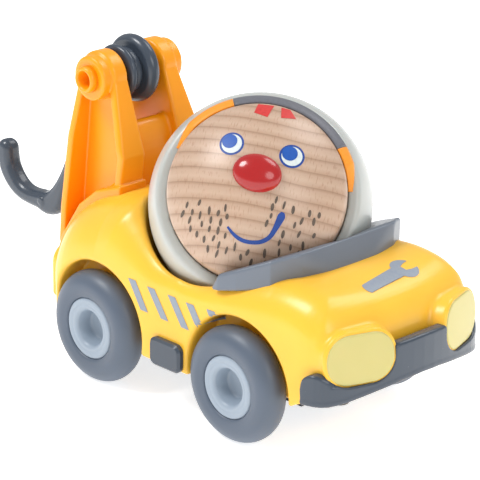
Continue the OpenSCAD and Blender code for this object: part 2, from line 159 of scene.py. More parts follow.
def turned_beech():
    """Clear-varnished beech, domed on a lathe across the growth rings: pale pink-brown
    bands that end in a fine darker line, and short flecks of ray across them."""
    mat, tree, shade = blank("turned beech", IOR=1.5, Coat_Weight=0.45, Coat_Roughness=0.32,
                             Subsurface_Weight=0.05, Subsurface_Scale=1.0 * MM)
    row = add(tree, "ShaderNodeTexCoord").outputs["Object"]
    tilt = FACE @ Matrix.Rotation(math.radians(GRAIN_TILT), 4, "X")
    place = add(tree, "ShaderNodeMapping", {"vector_type": "TEXTURE", "Location": metres(BALL),
                                            "Rotation": tilt.to_euler()}, {"Vector": row}).outputs[0]
    parts = add(tree, "ShaderNodeSeparateXYZ", links={"Vector": place})
    slow = add(tree, "ShaderNodeTexNoise", {"Scale": 1 / (26 * MM), "Detail": 1.0}, {"Vector": place})
    bend = add(tree, "ShaderNodeMath", {"operation": "MULTIPLY", 1: 1.2}, {0: slow.outputs["Fac"]})
    rise = add(tree, "ShaderNodeMath", {"operation": "MULTIPLY", 1: -1 / (RING_MM * MM)},
               {0: parts.outputs["Z"]})
    count = add(tree, "ShaderNodeMath", {"operation": "ADD"}, {0: rise.outputs[0], 1: bend.outputs[0]})
    ring = add(tree, "ShaderNodeMath", {"operation": "FRACT"}, {0: count.outputs[0]})
    rings = colour_by(tree, ring.outputs[0], [
        (0.0, "987961"), (0.05, "A8886F"), (0.2, "B99A83"), (0.6, "C2A58E"),
        (0.95, "B6967E"), (1.0, "A08167")])
    # rays are 0.1 mm wide in real beech; drawn 0.3 mm wide and 1.5 mm high to show
    squeeze = add(tree, "ShaderNodeMapping", {"Scale": (1, 1 / (0.3 * MM), 1 / (1.5 * MM))},
                  {"Vector": place})
    dash = add(tree, "ShaderNodeTexNoise", {"Scale": 1.0, "Detail": 2.0}, {"Vector": squeeze.outputs[0]})
    fleck = colour_by(tree, dash.outputs["Fac"], [(0.30, "C9A98E"), (0.44, "FFFFFF")])
    both = add(tree, "ShaderNodeMix", {"data_type": "RGBA", "blend_type": "MULTIPLY", 0: 0.45},
               {6: rings, 7: fleck})
    tree.links.new(both.outputs[2], shade.inputs["Base Color"])
    span = add(tree, "ShaderNodeMapRange", {"To Min": 0.36, "To Max": 0.48}, {"Value": dash.outputs["Fac"]})
    tree.links.new(span.outputs["Result"], shade.inputs["Roughness"])
    bump = add(tree, "ShaderNodeBump", {"Strength": 0.06, "Distance": 0.1 * MM},
               {"Height": dash.outputs["Fac"]})
    tree.links.new(bump.outputs["Normal"], shade.inputs["Normal"])
    return mat


def pad_print(name, colour, dark, rough=0.42):
    """Pad-printed ink: a thin even film, a little darker where it pools."""
    mat, tree, shade = blank(name, IOR=1.5)
    place = add(tree, "ShaderNodeTexCoord").outputs["Object"]
    pool = add(tree, "ShaderNodeTexNoise", {"Scale": 1 / (0.7 * MM), "Detail": 3.0}, {"Vector": place})
    tint = colour_by(tree, pool.outputs["Fac"], [(0.3, dark), (0.55, colour)])
    tree.links.new(tint, shade.inputs["Base Color"])
    span = add(tree, "ShaderNodeMapRange", {"To Min": rough, "To Max": rough + 0.1},
               {"Value": pool.outputs["Fac"]})
    tree.links.new(span.outputs["Result"], shade.inputs["Roughness"])
    return mat


def drawn_steel():
    """Bright drawn steel: fine lines round the rod streak its highlight."""
    mat, tree, shade = blank("drawn steel", Metallic=1.0)
    place = add(tree, "ShaderNodeTexCoord").outputs["Object"]
    lines = add(tree, "ShaderNodeTexWave", {"bands_direction": "Y", "Scale": 1 / (4 * MM),
                                              "Distortion": 1.0}, {"Vector": place})
    tint = colour_by(tree, lines.outputs["Fac"], [(0.0, "9DA1A6"), (1.0, "C9CDD1")])
    tree.links.new(tint, shade.inputs["Base Color"])
    span = add(tree, "ShaderNodeMapRange", {"To Min": 0.22, "To Max": 0.38},
               {"Value": lines.outputs["Fac"]})
    tree.links.new(span.outputs["Result"], shade.inputs["Roughness"])
    return mat


HEAD = (Matrix.Translation(BALL) @ Matrix.Rotation(math.radians(-HEAD_TURN), 4, "Z")
        @ Matrix.Rotation(math.radians(-FACE_UP), 4, "Y"))
FACE = HEAD @ Matrix.Rotation(math.radians(FACE_TIP), 4, "X")
GRAIN_TILT = 5
RING_MM = 2.9

yellow_abs = moulded("yellow moulded ABS", "FBC23C", "F8BD38", 0.3, glow=0.1)
amber_abs = moulded("amber moulded ABS", "FFA20A", "FC9D08", 0.32, glow=0.05)
dark_abs = moulded("slate grey moulded ABS", "404955", "3D4652", 0.25, grain=0.02)
mid_abs = moulded("mid grey moulded ABS", "6E7682", "6A727E", 0.34)
black_abs = moulded("black moulded ABS", "24272B", "1F2226", 0.45)
tyre_rubber = moulded("grey moulded rubber", "566171", "525D6C", 0.42, grain_mm=0.3, grain=0.08)
hub_abs = moulded("pale grey moulded ABS", "98A5B3", "94A1AF", 0.36)
lens_abs = moulded("pale yellow moulded ABS", "CCC078", "C8BC74", 0.32, glow=0.2, glow_mm=2.5)
shell_abs = moulded("warm white moulded ABS", "B8BBB7", "B4B7B3", 0.3, glow=0.15, glow_mm=2)
gear_nylon = moulded("natural moulded nylon", "E8E4D8", "E2DED2", 0.4, glow=0.1)
beech = turned_beech()
nose_lacquer = moulded("red gloss lacquer", "AC1416", "A61214", 0.2, coat=0.3)
ink_blue = pad_print("blue ink", "0450A8", "04489C")
ink_navy = pad_print("dark blue ink", "063E90", "063884")
ink_pale = pad_print("white ink", "D2DADA", "C6D0D0")
ink_red = pad_print("red ink", "CC3330", "BE2C2A")
ink_brown = pad_print("brown ink", "5E5044", "4C4036", 0.5)
ink_grey = pad_print("grey ink", "8D96A2", "8690A0")
cap_grey = pad_print("grey cap paint", "66676F", "606168")
cap_orange = pad_print("orange cap paint", "F2961E", "EC8F1A")
steel = drawn_steel()


# ---- shapes as distance fields ---------------------------------------------------
# A field is negative inside the piece and gives the distance to its surface, so two
# fields meet in a true fillet of the radius asked for.

def outline(points, u, v):
    """Distance to a closed outline drawn in two of the axes."""
    near = np.full(np.broadcast(u, v).shape, 1e9)
    inside = np.zeros(near.shape, bool)
    for (ax, ay), (bx, by) in zip(points, points[1:] + points[:1]):
        ex, ey = bx - ax, by - ay
        wx, wy = u - ax, v - ay
        t = np.clip((wx * ex + wy * ey) / (ex * ex + ey * ey + 1e-12), 0, 1)
        near = np.minimum(near, (wx - ex * t) ** 2 + (wy - ey * t) ** 2)
        crosses = (ay > v) != (by > v)
        if abs(ey) > 1e-9:
            inside ^= crosses & (wx < ex * wy / ey)
    return np.where(inside, -1, 1) * np.sqrt(near)


def flow(points, closed=True, steps=4):
    """Points along a smooth curve through the given ones."""
    n = len(points)
    out = []
    for i in range(n if closed else n - 1):
        if closed:
            a, b, c, d = (np.array(points[(i + k) % n], float) for k in (-1, 0, 1, 2))
        else:
            a, b, c, d = (np.array(points[min(max(i + k, 0), n - 1)], float) for k in (-1, 0, 1, 2))
        # centripetal spacing keeps the curve from overshooting at corners
        t1 = max(np.linalg.norm(b - a), 1e-6) ** 0.5
        t2 = t1 + max(np.linalg.norm(c - b), 1e-6) ** 0.5
        t3 = t2 + max(np.linalg.norm(d - c), 1e-6) ** 0.5
        for k in range(steps):
            t = t1 + (t2 - t1) * k / steps
            p1 = a * (t1 - t) / t1 + b * t / t1
            p2 = b * (t2 - t) / (t2 - t1) + c * (t - t1) / (t2 - t1)
            p3 = c * (t3 - t) / (t3 - t2) + d * (t - t2) / (t3 - t2)
            q1 = p1 * (t2 - t) / t2 + p2 * t / t2
            q2 = p2 * (t3 - t) / (t3 - t1) + p3 * (t - t1) / (t3 - t1)
            out.append(tuple(q1 * (t2 - t) / (t2 - t1) + q2 * (t - t1) / (t2 - t1)))
    if not closed:
        out.append(tuple(points[-1]))
    return out


def meet(a, b, r):
    """What is inside both, with the edge rounded to r."""
    return np.minimum(np.maximum(a, b), -r) + np.hypot(np.maximum(a + r, 0), np.maximum(b + r, 0))


def join(a, b, r):
    """Both together, with a fillet of r between them."""
    return np.maximum(np.minimum(a, b), r) - np.hypot(np.maximum(r - a, 0), np.maximum(r - b, 0))


def carve(a, b, r):
    """a with b taken away, and the edge rounded to r."""
    return meet(a, -b, r)


def between(v, low, high):
    return np.maximum(low - v, v - high)


def rod(u, v, centre, r):
    return np.hypot(u - centre[0], v - centre[1]) - r


def orb(x, y, z, centre, r):
    return np.sqrt((x - centre[0]) ** 2 + (y - centre[1]) ** 2 + (z - centre[2]) ** 2) - r


def pad(u, v, w, h, r):
    """A rounded rectangle w by h."""
    qx, qy = np.abs(u) - w / 2 + r, np.abs(v) - h / 2 + r
    return np.minimum(np.maximum(qx, qy), 0) + np.hypot(np.maximum(qx, 0), np.maximum(qy, 0)) - r


def skin(name, field, low, high, step, material, body):
    """Turns a distance field into a mesh of quads whose points lie on its surface."""
    xs, ys, zs = (np.arange(low[i], high[i] + step, step) for i in range(3))
    f = field(xs[:, None, None], ys[None, :, None], zs[None, None, :])
    f = np.broadcast_to(f, (len(xs), len(ys), len(zs))).astype(np.float32)
    solid = f < 0
    corners = [(i, j, k) for i in (0, 1) for j in (0, 1) for k in (0, 1)]
    nx, ny, nz = f.shape
    count = sum(solid[i:nx - 1 + i, j:ny - 1 + j, k:nz - 1 + k].astype(np.int8) for i, j, k in corners)
    cells = np.argwhere((count > 0) & (count < 8))
    values = np.stack([f[cells[:, 0] + i, cells[:, 1] + j, cells[:, 2] + k] for i, j, k in corners], 1)
    total = np.zeros((len(cells), 3))
    hits = np.zeros(len(cells))
    for a in range(8):
        for b in range(a + 1, 8):
            ca, cb = np.array(corners[a]), np.array(corners[b])
            if np.abs(ca - cb).sum() != 1:
                continue
            va, vb = values[:, a], values[:, b]
            cut = (va < 0) != (vb < 0)
            t = np.where(cut, va / np.where(cut, va - vb, 1), 0)
            total += np.where(cut[:, None], ca + (cb - ca) * t[:, None], 0)
            hits += cut
    p = (cells + total / hits[:, None]) * step + np.array(low)
    number = np.full((nx - 1, ny - 1, nz - 1), -1)
    number[cells[:, 0], cells[:, 1], cells[:, 2]] = np.arange(len(cells))
    faces = []
    for axis in range(3):
        side = [1, 2] if axis == 0 else ([2, 0] if axis == 1 else [0, 1])
        a = np.take(solid, range(f.shape[axis] - 1), axis)
        b = np.take(solid, range(1, f.shape[axis]), axis)
        edge = np.argwhere(a != b)
        edge = edge[(edge[:, side[0]] > 0) & (edge[:, side[1]] > 0)]
        edge = edge[(edge[:, side[0]] < f.shape[side[0]] - 1) & (edge[:, side[1]] < f.shape[side[1]] - 1)]
        out = a[edge[:, 0], edge[:, 1], edge[:, 2]]
        ring = []
        for da, db in ((1, 1), (0, 1), (0, 0), (1, 0)):
            c = edge.copy()
            c[:, side[0]] -= da
            c[:, side[1]] -= db
            ring.append(number[c[:, 0], c[:, 1], c[:, 2]])
        quad = np.stack(ring, 1)
        quad[~out] = quad[~out][:, ::-1]
        faces.append(quad)
    faces = np.concatenate(faces)
    for _ in range(3):
        here = field(p[:, 0], p[:, 1], p[:, 2])
        h = 0.02
        slope = np.stack([field(*(p + h * np.eye(3)[i]).T) - here for i in range(3)], 1) / h
        move = -here[:, None] * slope / np.maximum((slope ** 2).sum(1), 0.25)[:, None]
        size = np.linalg.norm(move, axis=1, keepdims=True)
        p += move * np.minimum(1, 0.5 * step / np.maximum(size, 1e-9))
    return piece_from(name, p, faces, material, body)


def piece_from(name, points, faces, material, body, smooth=True):
    """A mesh object from points in millimetres, riding on a body."""
    mesh = bpy.data.meshes.new(name)
    p = np.array([tuple(q) for q in points], float)
    p[:, 0] += SHIFT
    mesh.from_pydata((p * MM).tolist(), [], [list(map(int, f)) for f in faces])
    mesh.validate()
    obj = bpy.data.objects.new(name, mesh)
    bpy.context.scene.collection.objects.link(obj)
    mesh.materials.append(material)
    mesh.polygons.foreach_set("use_smooth", [smooth] * len(mesh.polygons))
    mesh.update()
    if body:
        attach(obj, body)
    return obj


def stand_for(obj, *nodes, slot=None):
    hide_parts(*nodes)
    return obj


def spun(name, profile, place, material, body, turns=96, closed=True):
    """A turned piece: a profile of (radius, height) spun about local Z."""
    n = len(profile)
    points, faces = [], []
    for i in range(turns):
        a = 2 * math.pi * i / turns
        for r, h in profile:
            points.append(place @ Vector((r * math.cos(a), r * math.sin(a), h)))
        for k in range(n if closed else n - 1):
            j, m = (i + 1) % turns, (k + 1) % n
            faces.append((i * n + k, j * n + k, j * n + m, i * n + m))
    return piece_from(name, points, faces, material, body)


# ---- body --------------------------------------------------------------------

SIDE = flow([(-41.6, -20), (-41.8, 8), (-42, 14), (-42.2, 19), (-41.6, 23), (-39.4, 27), (-35.5, 31.3),
             (-30, 34.9), (-24, 37.4), (-18, 39.1), (-13.6, 39.2), (-10, 36.8), (-6, 33.6), (-2, 31.2),
             (3, 30), (8, 29.8), (13, 30.6), (20, 32.6), (27, 34.5), (34, 34.7), (40, 33.5), (44, 31.2),
             (46.4, 27.6), (47.5, 23.5), (47.9, 18.5), (47.6, 12), (47, -20)])
HALF_PLAN = [(-42.2, 0), (-42.1, 9), (-41.4, 14.4), (-38.8, 18.8), (-33, 21.6), (-26, 22.4), (-8, 22.5),
             (10, 22.5), (24, 22.1), (34, 21.8), (39.6, 21.5), (42.8, 20.5), (44.4, 18.2), (45.8, 14),
             (47.2, 8), (48, 0)]
PLAN = flow(HALF_PLAN + [(x, -y) for x, y in HALF_PLAN[-2:0:-1]], steps=3)
LENS_AT, LENS_YAW, LENS_LEAN = (46.4, 14.2, 23.6), 18.5, 5
ARCH_SHIFT = 0.9
WALL = 2.0


def lens_frame(x, y, z):
    """Across, up and out of the nearer headlight."""
    yaw, lean = math.radians(LENS_YAW), math.radians(LENS_LEAN)
    dx, dy, dz = x - LENS_AT[0], np.abs(y) - LENS_AT[1], z - LENS_AT[2]
    across = dy * math.cos(yaw) - dx * math.sin(yaw)
    out = dx * math.cos(yaw) + dy * math.sin(yaw)
    up = dz * math.cos(lean) - out * math.sin(lean)
    return across, up, out * math.cos(lean) + dz * math.sin(lean)


def block(x, y, z):
    """The body as a solid lump, before anything is cut from it."""
    side = outline(SIDE, x, z)
    plan = outline(PLAN, x, y)
    round_by = np.interp(x, [-20, -8, 4, 16, 28, 40, 46], [12, 7, 3.5, 4.5, 7.2, 7.2, 5.6])
    return meet(side, plan, round_by)


def body_field(x, y, z):
    lump = block(x, y, z)
    # tail panel, a little proud of the round back
    tail = meet(pad(y, z - 6, 28, 31, 4), between(x, -43.6, -38), 1.3)
    lump = join(lump, tail, 0.7)
    under = np.interp(x, [32, 36, 40, 46, 48], [10, 12.6, 14.6, 16.9, 17.5])
    lump = carve(lump, z - under, 0.8)
    across, up, out = lens_frame(x, y, z)
    bezel = meet(pad(across, up, 15.8, 11.2, 5.3), between(out, -4.5, 0.3), 0.5)
    lump = join(lump, bezel, 1.0)
    axle = np.minimum(rod(x, z, (AXLE_X, WHEEL_R), 0), rod(x, z, (-AXLE_X, WHEEL_R), 0))
    arch = np.minimum(rod(x, z, (AXLE_X + ARCH_SHIFT, WHEEL_R + ARCH_SHIFT), 0),
                      rod(x, z, (ARCH_SHIFT - AXLE_X, WHEEL_R + ARCH_SHIFT), 0))
    head = orb(x, y, z, BALL, 0)
    hollow = np.maximum(block(x, y, z) + WALL, np.minimum(under + WALL - z, x - 33))
    hollow = np.maximum(hollow, -np.maximum(arch - 15, 14.6 - np.abs(y)))
    hollow = np.maximum(hollow, -(head - BALL_R - 2.8))
    lump = np.maximum(lump, -hollow)
    lump = carve(lump, np.maximum(arch - 13.5, 16 - np.abs(y)), 0.9)
    lump = carve(lump, head - BALL_R - 0.8, 0.9)
    lump = carve(lump, np.minimum(rod(x, y, (BALL.x, 0), 5.6), axle - 2.6), 0.2)
    notch = np.maximum(np.maximum(between(x, -0.6, 5.4), between(z, 8, 13.5)), 19 - np.abs(y))
    return carve(lump, notch, 0.1)


body = skin("body_shell_moulding", body_field, (-45, -24, 8), (49.5, 24, 41), 0.42, yellow_abs, "truck")
stand_for(body, "body_shell")

# ---- nose: lenses, bumper, windscreen ----------------------------------------

def lens_field(side):
    def field(x, y, z):
        across, up, out = lens_frame(x, y, z)
        dome = 0.68 - 0.004 * (across ** 2 + up ** 2)
        shape = meet(pad(across, up, 14.55, 9.95, 4.7), between(out, -1.1, dome), 0.3)
        return np.maximum(shape, -side * y)
    return field


for side, word in ((1, "left"), (-1, "right")):
    low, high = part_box("headlight_lens_" + word)
    corner = [c / MM - 0.6 for c in low], [c / MM + 0.6 for c in high]
    lens = skin("headlight_" + word, lens_field(side), (corner[0][0] - SHIFT, *corner[0][1:]),
                (corner[1][0] - SHIFT, *corner[1][1:]), 0.22, lens_abs, "truck")
    stand_for(lens, "headlight_lens_" + word)

BUMPER_TOP = flow([(-8, 25.6), (0, 25.6), (5, 25.4), (6.8, 25.2), (7.8, 24.4), (8.5, 22.6),
                   (9.4, 20.9), (12, 19.8), (18, 19.3), (24, 19.2), (30, 19.2), (30, 8), (-8, 8)], steps=3)


def bumper_field(x, y, z):
    w = np.abs(y)
    # the lower edge rises from the rounded ends to the middle
    lowest = np.interp(w, [0, 5, 8, 11.5, 15.6, 18.5, 21, 25],
                       [17.7, 17.4, 17, 16.5, 15.8, 15.3, 14.9, 14.5])
    front = outline(BUMPER_TOP, w, z)
    knob = join(rod(x, z, (42.5, 18.1), 3.1), np.maximum(between(x, 39.4, 46), between(z, 8, 18.1)), 0.5)
    view = np.where(w > 18.5, np.minimum(np.maximum(front, 43 - x), knob), front)
    view = meet(view, lowest - z, 0.6)
    # a mould line: the lowest part stands out a little
    proud = 2.02 + 0.1 / (1 + np.exp(np.clip((z - lowest - 1.1) / 0.06, -30, 30)))
    plan = outline(PLAN, x, y)
    shape = meet(view, np.maximum(-0.4 - plan, plan - proud), 0.6)
    shape = meet(shape, 39.4 - x, 0.6)
    across, up, out = lens_frame(x, y, z)
    return carve(shape, np.maximum(pad(across, up, 14.9, 10.3, 4.85), -5 - out), 0.25)


bumper = skin("bumper_moulding", bumper_field, (38.6, -25, 13.4), (51.4, 25, 26.6), 0.27, dark_abs, "truck")
stand_for(bumper, "front_bumper")

SCREEN_HALF = [(14.2, 22.3), (16.2, 22.5), (20, 21.4), (26.4, 18.4), (29.6, 13), (31.2, 6.5)]
SCREEN_PLAN = SCREEN_HALF + [(31.6, 0)] + [(x, -y) for x, y in SCREEN_HALF[::-1]] + [(14, 0)]
SCREEN_SIDE = [(14.7, 30.2), (14, 30.6), (16.2, 34), (22, 36.6), (26, 38.4), (28.4, 39.4), (29.4, 39.4),
               (31.6, 33.8), (31.6, 32.4), (26.7, 32.6)]


def screen_field(x, y, z):
    shape = meet(outline(SCREEN_PLAN, x, y), outline(SCREEN_SIDE, x, z), 0.7)
    shape = carve(shape, orb(x, y, z, BALL, BALL_R + 0.9), 0.5)
    return np.maximum(shape, -(block(x, y, z) + 0.5))


screen = skin("windscreen_moulding", screen_field, (13.4, -23.4, 28), (32.6, 23.4, 40), 0.28, mid_abs,
              "truck")
stand_for(screen, "windscreen_frame")

# ---- crane -------------------------------------------------------------------

CAP_R = 5.4
ARM_IN = 5.0
ARM_SIDE = [(MAST.x - CAP_R, MAST.z), (-42.6, 30), (-43.2, 22), (-40.4, 20), (-24.2, 31), (-24, 38),
            (-23.3, 44.8), (MAST.x + CAP_R, MAST.z)]
FOOT = [(-43.2, 20), (-41, 24.8), (-36, 32.2), (-30.6, 36.6), (-24, 39), (-23, 39.4), (-23, 30),
        (-43.2, 17)]
PANEL = flow([(-31, 36), (-30.4, 49), (-29.2, 50.1), (-27.7, 49.5), (-26.4, 46), (-26, 38), (-26, 34)])


def crane_field(x, y, z):
    w = np.abs(y)
    view = np.minimum(outline(ARM_SIDE, x, z), rod(x, z, (MAST.x, MAST.z), CAP_R))
    # the arms get narrower towards the top
    arm_out = np.interp(z, [30, 46, 56, 60], [12, 11.3, 9.5, 8.8])
    arm = meet(view, np.maximum(ARM_IN - w, w - arm_out), 0.7)
    arm = carve(arm, np.maximum(view + 1.9, ARM_IN + 2 - w), 0.35)
    boss = meet(rod(x, z, (MAST.x, MAST.z), 4.7), between(w, ARM_IN, 11), 0.6)
    arm = join(arm, boss, 0.3)
    foot = meet(outline(FOOT, x, z), between(w, ARM_IN, 12.5), 0.5)
    arm = join(arm, foot, 0.4)
    panel = meet(outline(PANEL, x, z), w - ARM_IN - 0.6, 0.5)
    shape = join(arm, panel, 0.5)
    inner = meet(rod(x, z, (MAST.x, MAST.z), 3.4), between(y, -5.6, -4.3), 0.2)
    inner = np.minimum(inner, meet(rod(x, z, (MAST.x, MAST.z), 3.4), between(y, 3.2, 5.6), 0.2))
    shape = np.minimum(shape, inner)
    shape = carve(shape, rod(x, z, (MAST.x, MAST.z), 2.3), 0.15)
    shape = carve(shape, orb(x, y, z, BALL, BALL_R + 0.8), 0.4)
    return np.maximum(shape, -(block(x, y, z) + 0.6))


crane = skin("crane_moulding", crane_field, (-44.4, -13, 16.5), (-21, 13, 66), 0.32, amber_abs, "truck")
stand_for(crane, "crane_frame")

across_axle = Matrix.Translation(MAST) @ Matrix.Rotation(math.radians(-90), 4, "X")
pin = spun("pulley_pin", [
    (0.01, -8.6), (1.5, -8.6), (1.75, -8.9), (1.8, -12.2), (2.0, -12.6), (2.3, -12.7), (2.6, -12.55),
    (2.78, -12.1), (2.8, -11), (2.34, -10.9), (2.34, 10.9), (2.8, 11), (2.78, 12.1), (2.6, 12.55),
    (2.3, 12.7), (2.0, 12.6), (1.8, 12.2), (1.75, 8.9), (1.5, 8.6), (0.01, 8.6)],
    across_axle, amber_abs, "truck", closed=False)
stand_for(pin, "pulley_axle")


def arc(centre, r, start, end, steps=6):
    """Points round a circle, from one angle to another in degrees."""
    angles = [math.radians(start + (end - start) * k / steps) for k in range(steps + 1)]
    return [(centre[0] + r * math.cos(a), centre[1] + r * math.sin(a)) for a in angles]


on_pin = across_axle @ Matrix.Translation((0, 0, -1.3))
big = [(3.3, 1.0), *arc((4.2, 1.45), 0.45, 270, 300, 2), (5.4, 1.3), *arc((5.6, 2.6), 1.6, -75, 75, 14),
       (5.3, 4.0), (4.6, 3.75), (3.6, 3.7), (2.4, 3.7), (2.4, -2.5), (3.25, -2.6), (3.3, -2.4)]
drum = spun("pulley_wheel", big, on_pin, dark_abs, "pulley")
stand_for(drum, "pulley_drum")
small = [(3.32, -2.5), (4.4, -2.7), *arc((5.0, -1.9), 0.8, 260, 450, 10), (4.4, -1.15), (3.32, -1.1)]
flange = spun("pulley_washer", small, on_pin, dark_abs, "pulley")
stand_for(flange, "pulley_flange")

# the hook's middle line from its tip to its eye, with the half width at each point
HOOK_LINE = [(-74.0, 32.4, 2.2), (-73.4, 28.6, 2.25), (-71.2, 25.6, 2.15), (-68.4, 23.9, 1.95),
             (-65.4, 23.4, 1.9), (-62.4, 23.4, 2.1), (-59.6, 23.3, 2.6), (-57.0, 24.6, 2.8),
             (-54.6, 28.2, 2.2), (-52.2, 32.8, 1.9), (-49.6, 38.4, 2.1), (-45.6, 46, 2.2),
             (-42.0, 51, 2.0)]


def chain(points, u, v):
    """Distance to a bar of changing width along a line."""
    near = np.full(np.broadcast(u, v).shape, 1e9)
    for (ax, ay, ar), (bx, by, br) in zip(points, points[1:]):
        ex, ey = bx - ax, by - ay
        t = np.clip(((u - ax) * ex + (v - ay) * ey) / (ex * ex + ey * ey), 0, 1)
        near = np.minimum(near, np.hypot(u - ax - ex * t, v - ay - ey * t) - (ar + (br - ar) * t))
    return near


HOOK_SMOOTH = [tuple(p) for p in flow([np.array(p) for p in HOOK_LINE], closed=False, steps=3)]


def hook_field(x, y, z):
    bar = chain(HOOK_SMOOTH, x, z)
    bar = meet(bar, np.abs(y) - 2.15, 1.7)
    bar = np.maximum(bar, -(rod(x, z, (MAST.x, MAST.z), 7.9)))
    plate = np.minimum(rod(x, z, (MAST.x, MAST.z), 5),
                       outline([(-50, 45), (-47, 42.6), (-31, 57), (-37.6, 62.4)], x, z))
    plate = meet(plate, between(y, -2.2, -0.6), 0.25)
    shape = join(bar, plate, 0.3)
    stud = meet(rod(x, z, (-60.6, 23.8), 1.0), np.abs(y) - 2.4, 0.2)
    shape = np.minimum(shape, stud)
    return carve(shape, rod(x, z, (MAST.x, MAST.z), 3.36), 0.1)


hook = skin("hook_moulding", hook_field, (-77.2, -3, 19.6), (-28, 3, 65), 0.3, dark_abs, "hook")
stand_for(hook, "tow_hook")

# ---- wheels --------------------------------------------------------------------

TYRE_R = 3.35


def wheel(end, side, word):
    """Tyre and hub of one wheel. Heights run outwards from the truck's middle."""
    x = AXLE_X if end == "front" else -AXLE_X
    place = (Matrix.Translation((x, 0, WHEEL_R)) @ Matrix.Rotation(math.radians(-90 * side), 4, "X"))
    c = (WHEEL_R - TYRE_R, 24 - TYRE_R)
    tread = arc(c, TYRE_R, -105, 105, 34)
    ring = [(6.55, 18.1), (7.4, 17.55), *tread, (7.5, 23.85), (6.9, 23.75), (6.55, 23.5)]
    tyre = spun(f"{end}_tyre_{word}_moulding", ring, place, tyre_rubber, end + "_wheels", turns=128)
    stand_for(tyre, f"{end}_tyre_{word}")
    face = [(1.55, 18.5), (6.5, 18.5), (6.5, 23.1), *arc((6.0, 23.15), 0.5, 0, 90, 4), (5.6, 23.72),
            (5.2, 23.6), *arc((4.7, 22.6), 1.0, 70, 160, 6), (3.55, 21.6), (3.35, 20.9),
            *arc((2.7, 20.7), 0.6, -10, -80, 5), (2.2, 20.06), (1.0, 20.05), (0.01, 20.05)]
    hub = spun(f"{end}_hub_{word}_moulding", face, place, hub_abs, end + "_wheels", turns=96, closed=False)
    stand_for(hub, f"{end}_hub_{word}")


for end in ("front", "rear"):
    wheel(end, 1, "left")
    wheel(end, -1, "right")

# ---- driver's head ----------------------------------------------------------------

into_head = HEAD.inverted()
MOUTH = 10.4


def shell_field(x, y, z):
    u, v, w = (row[0] * x + row[1] * y + row[2] * z + row[3] for row in into_head[:3])
    centre = np.sqrt(u * u + v * v + w * w)
    ball = meet(centre - BALL_R, u - MOUTH, 0.6)
    r = np.hypot(v, w)
    inside = np.minimum(np.maximum(centre - BALL_R + 2.2, u - 7.2), np.maximum(r - 15, between(u, 0, 12)))
    inside = np.minimum(inside, np.maximum(r - 17.75, 9.2 - u))
    shell = carve(ball, inside, 0.15)
    bosses = meet(rod(u, w, (0, 0), 3.2), between(np.abs(v), 4, 20.6), 0.2)
    shell = np.minimum(shell, bosses)
    shell = carve(shell, rod(u, w, (0, 0), 1.5), 0.1)
    slot = outline([(0, 0), polar(40, -68), polar(44, -105), polar(40, -142)], u, w)
    return carve(shell, np.maximum(slot, np.abs(v) - 3.6), 0.2)


def polar(r, degrees):
    return (r * math.cos(math.radians(degrees)), r * math.sin(math.radians(degrees)))


reach = BALL_R + 0.8
shell = skin("head_ball", shell_field, [c - reach for c in BALL], [c + reach for c in BALL], 0.45,
             shell_abs, "head")
stand_for(shell, "head_shell")

face_out = FACE @ Matrix.Rotation(math.radians(90), 4, "Y")
DOME_R = 17.7


def dome_height(r):
    return math.sqrt(BALL_R ** 2 - r * r)


dome = [(0.02, 9.2), (DOME_R, 9.25), (DOME_R, dome_height(DOME_R) - 0.7)]
dome += [(DOME_R - 0.06, dome_height(DOME_R) - 0.4), (DOME_R - 0.2, dome_height(DOME_R - 0.2) - 0.12)]
dome += [(DOME_R - 0.5 - k * (DOME_R - 0.52) / 24, dome_height(DOME_R - 0.5 - k * (DOME_R - 0.52) / 24))
         for k in range(25)]
face = spun("wooden_dome", dome, face_out, beech, "head", closed=False)
stand_for(face, "wooden_face")

bead = [(4.8 * math.cos(math.radians(a)), 2.4 * math.sin(math.radians(a))) for a in range(-20, 90, 5)]
bead += [(0.01, 2.4)]
seat = FACE @ Matrix.Rotation(math.radians(-5.5), 4, "Y") @ Matrix.Translation((BALL_R - 0.35, 0, 0))
oval = seat @ Matrix.Rotation(math.radians(90), 4, "Y") @ Matrix.Diagonal((3.8 / 4.8, 1, 1, 1))
nose = spun("nose_bead", bead, oval, nose_lacquer, "head", closed=False)
stand_for(nose, "face_nose")


def band(name, start, end, material):
    """A stretch of the cap's band over the forehead, by angle from the crown."""
    shape = [(17.78, 10.46), (19.2, 10.46), (19.75, 10.7), (19.85, 11.0), (19.5, 11.6), (19.0, 12.3),
             (18.3, 12.95), (17.95, 13.1), (17.78, 12.9)]
    n, steps = len(shape), 40
    points, faces = [], []
    for i in range(steps + 1):
        angle = start + (end - start) * i / steps
        a = math.radians(angle)
        # the band thins out to a point at both of its ends
        thin = min(1, max(0.1, (74 - abs(angle)) / 16))
        points += [FACE @ Vector((10.46 + (h - 10.46) * thin, r * math.sin(a), r * math.cos(a)))
                   for r, h in ((17.78 + (q - 17.78) * (0.4 + 0.6 * thin), h) for q, h in shape)]
    for i in range(steps):
        faces += [(i * n + k, i * n + (k + 1) % n, (i + 1) * n + (k + 1) % n, (i + 1) * n + k)
                  for k in range(n)]
    faces += [tuple(range(n))[::-1], tuple(steps * n + k for k in range(n))]
    return piece_from(name, points, faces, material, "head")


stand_for(band("cap_band_middle", -29, 47, cap_grey), "cap_band")
stand_for(band("cap_band_right", -74, -29.2, cap_orange), "cap_band")
stand_for(band("cap_band_left", 47.2, 74, cap_orange), "cap_band")

# ---- printed marks ----------------------------------------------------------------
FILM = 0.05
BODY_FILM = 0.08


